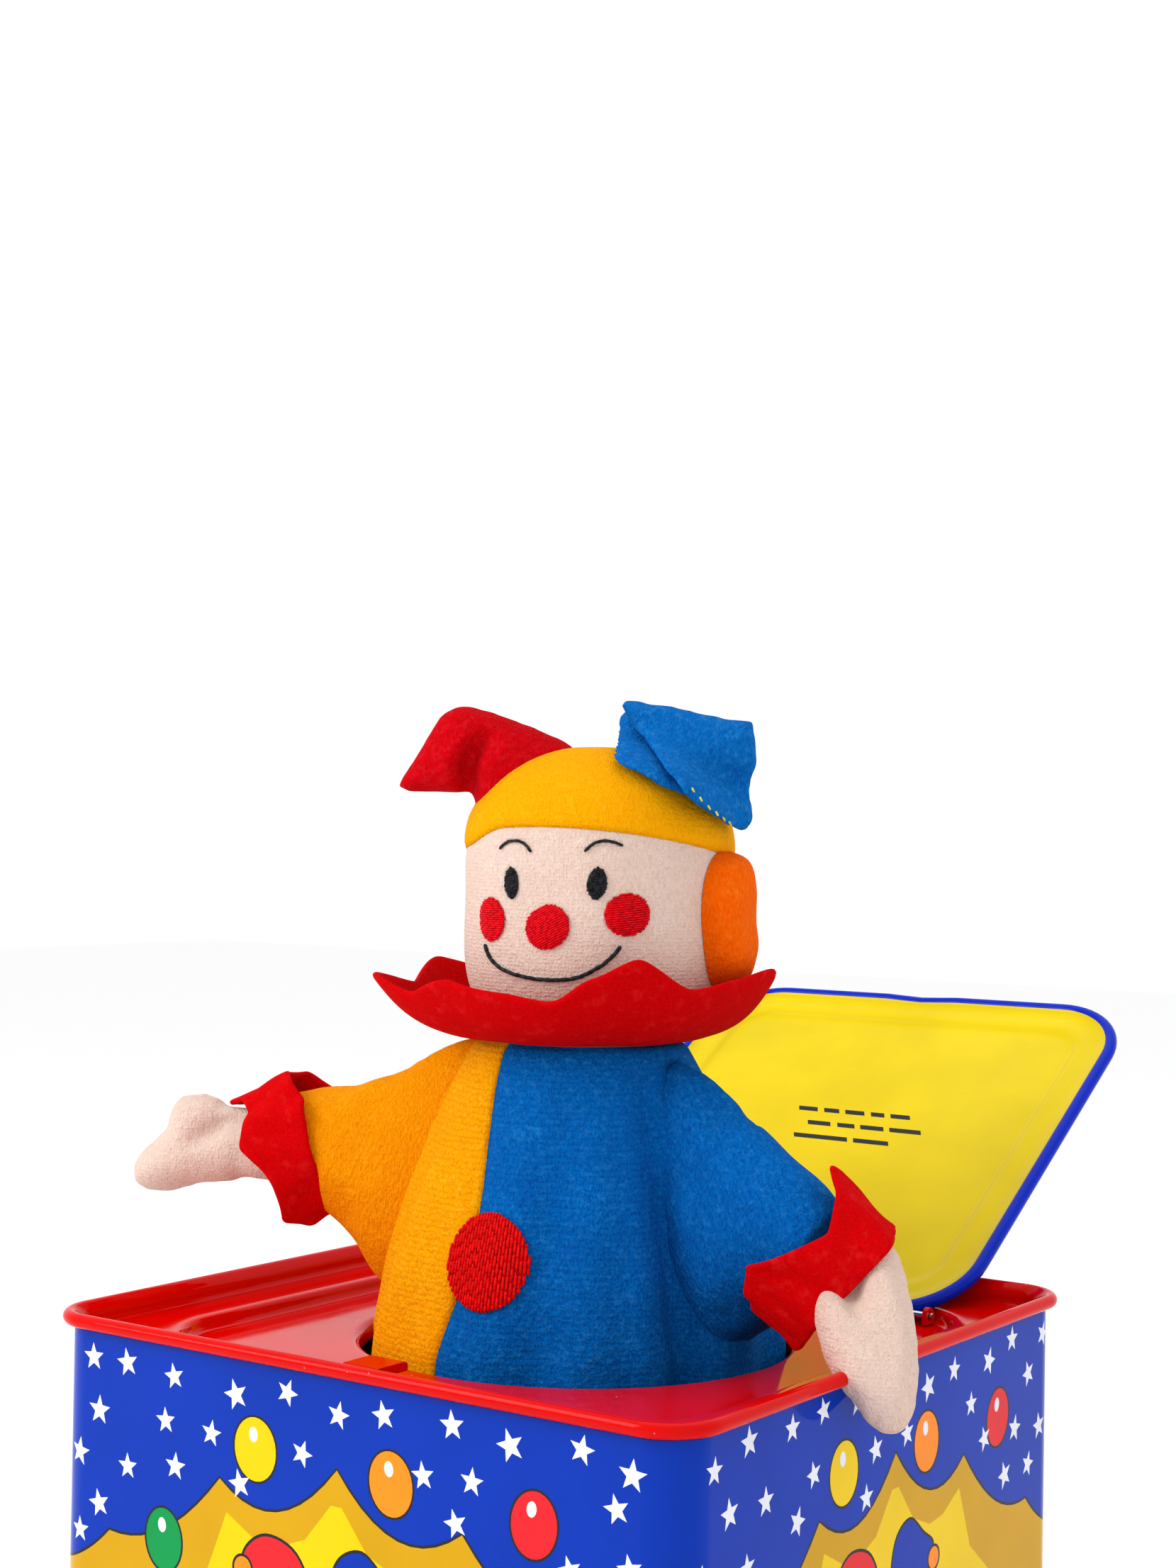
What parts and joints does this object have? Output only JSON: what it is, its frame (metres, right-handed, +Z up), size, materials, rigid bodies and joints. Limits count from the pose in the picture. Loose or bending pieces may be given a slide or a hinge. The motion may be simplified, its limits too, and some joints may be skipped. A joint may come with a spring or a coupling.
{
  "type": "jack in the box",
  "caption": "Square tin box with a hinged lid, a cloth clown doll on a coil spring, and a side crank that turns a small music movement.",
  "frame": {"origin": "centre of the flat underside of the box", "axes": "+Z up, -Y towards the doll's front, +X towards the crank side; the lid is hinged along X at +Y"},
  "size_m": [0.1929, 0.2201, 0.26],
  "materials": {
    "red_tin": "gloss",
    "litho_tin": "gloss",
    "lid_tin": "gloss",
    "steel": "satin",
    "brass": "satin",
    "nylon": "matte",
    "board": "matte",
    "red_plastic": "gloss",
    "yellow_cloth": "matte",
    "blue_cloth": "matte",
    "red_felt": "matte",
    "flesh_knit": "matte",
    "orange_hair": "matte",
    "black_thread": "satin",
    "red_thread": "satin"
  },
  "bodies": {
    "box": {"box_wall": "litho_tin", "bottom_pan": "red_tin", "top_tray": "red_tin", "hinge_wire": "steel", "hinge_ear_left": "red_tin", "hinge_ear_right": "red_tin", "latch_pin": "steel", "latch_bracket": "steel", "latch_spring": "steel", "crank_bushing": "brass", "frame_rivet_1": "steel", "frame_rivet_2": "steel", "frame_rivet_3": "steel", "frame_rivet_4": "steel", "movement_frame": "steel", "comb": "steel", "comb_block": "brass", "comb_screw_1": "steel", "comb_screw_2": "steel", "spring_base": "board", "pop_spring": "steel"},
    "lid": {"lid": "lid_tin"},
    "latch": {"latch_lever": "red_tin", "release_wire": "steel"},
    "crank": {"crank_rod": "steel", "crank_pinion": "brass", "crank_collar": "steel", "knob_retainer": "steel"},
    "knob": {"crank_knob": "red_plastic"},
    "drum": {"drum_shaft": "steel", "drum_gear": "nylon", "release_cam": "red_plastic", "music_drum": "brass"},
    "doll": {"neck_disc": "board", "robe_right_half": "yellow_cloth", "robe_left_half": "blue_cloth", "robe_button": "red_thread", "sleeve_right": "yellow_cloth", "sleeve_left": "blue_cloth", "cuff_right": "red_felt", "cuff_left": "red_felt", "hand_right": "flesh_knit", "hand_left": "flesh_knit", "neck_ruff": "red_felt", "head": "flesh_knit", "eye_right": "black_thread", "eye_left": "black_thread", "cheek_right": "red_thread", "cheek_left": "red_thread", "nose": "red_thread", "cap_crown": "yellow_cloth", "cap_horn_right": "red_felt", "cap_horn_left": "blue_cloth", "hair_right": "orange_hair", "hair_left": "orange_hair"}
  },
  "joints": [
    {"name": "lid_hinge", "type": "hinge", "parent": "box", "child": "lid", "pos_m": [0, 0.053, 0.138], "axis": [1, 0, 0], "range_deg": [0, 149]},
    {"name": "doll_spring_travel", "type": "slide", "parent": "box", "child": "doll", "axis": [0, 0, 1], "range_m": [-0.127, 0], "stiffness_N_per_m": 25, "springref_m": 0.06, "deforming": ["pop_spring", "robe_right_half", "robe_left_half", "robe_button", "sleeve_right", "sleeve_left", "cuff_right", "cuff_left", "hand_right", "hand_left"]},
    {"name": "latch_tip", "type": "hinge", "parent": "box", "child": "latch", "pos_m": [0, -0.0661, 0.122], "axis": [1, 0, 0], "range_deg": [0, 5], "stiffness_Nm_per_rad": 0.2, "springref_deg": -11.46},
    {"name": "crank_turn", "type": "hinge", "parent": "box", "child": "crank", "pos_m": [0.0635, 0, 0.066], "axis": [1, 0, 0], "continuous": true},
    {"name": "knob_spin", "type": "hinge", "parent": "crank", "child": "knob", "pos_m": [0.0909, 0, 0.032], "axis": [1, 0, 0], "continuous": true},
    {"name": "drum_turn", "type": "hinge", "parent": "box", "child": "drum", "pos_m": [0.0635, 0, 0.04165], "axis": [1, 0, 0], "continuous": true}
  ],
  "couplings": [
    {"joint": "doll_spring_travel", "follows": "lid_hinge", "m_per_rad": -0.04845},
    {"joint": "drum_turn", "follows": "crank_turn", "ratio": -0.33333}
  ]
}
